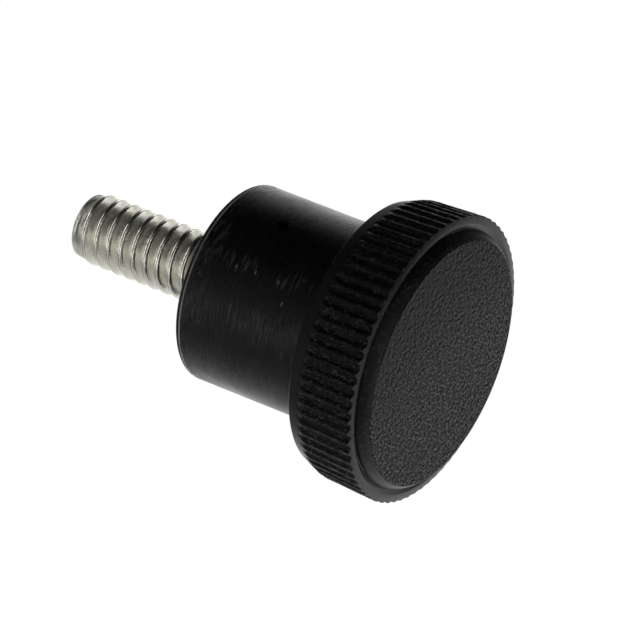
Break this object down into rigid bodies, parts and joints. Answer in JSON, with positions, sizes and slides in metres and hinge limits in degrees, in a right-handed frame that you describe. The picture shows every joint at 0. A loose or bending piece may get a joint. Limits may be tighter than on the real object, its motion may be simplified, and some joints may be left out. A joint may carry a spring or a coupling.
{
  "type": "knurled knob",
  "caption": "Round black moulded thumb knob with a straight-knurled head, raised textured face disc, plain hub and a threaded steel stud.",
  "frame": {"origin": "centre of the raised face disc, on the flat face the knob stands on", "axes": "+Z along the knob's axis, from the face disc through the head and hub to the stud's tip; -Y faces the side that is seen best"},
  "size_m": [0.0254, 0.0254, 0.0361],
  "materials": {
    "knob_plastic": "black moulded thermoplastic, satin on the hub and knurl, fine sand texture on the face disc",
    "stud_steel": "bright plated or stainless rolled thread"
  },
  "bodies": {
    "root": {"knob_body": "knob_plastic", "threaded_stud": "stud_steel"}
  },
  "joints": []
}
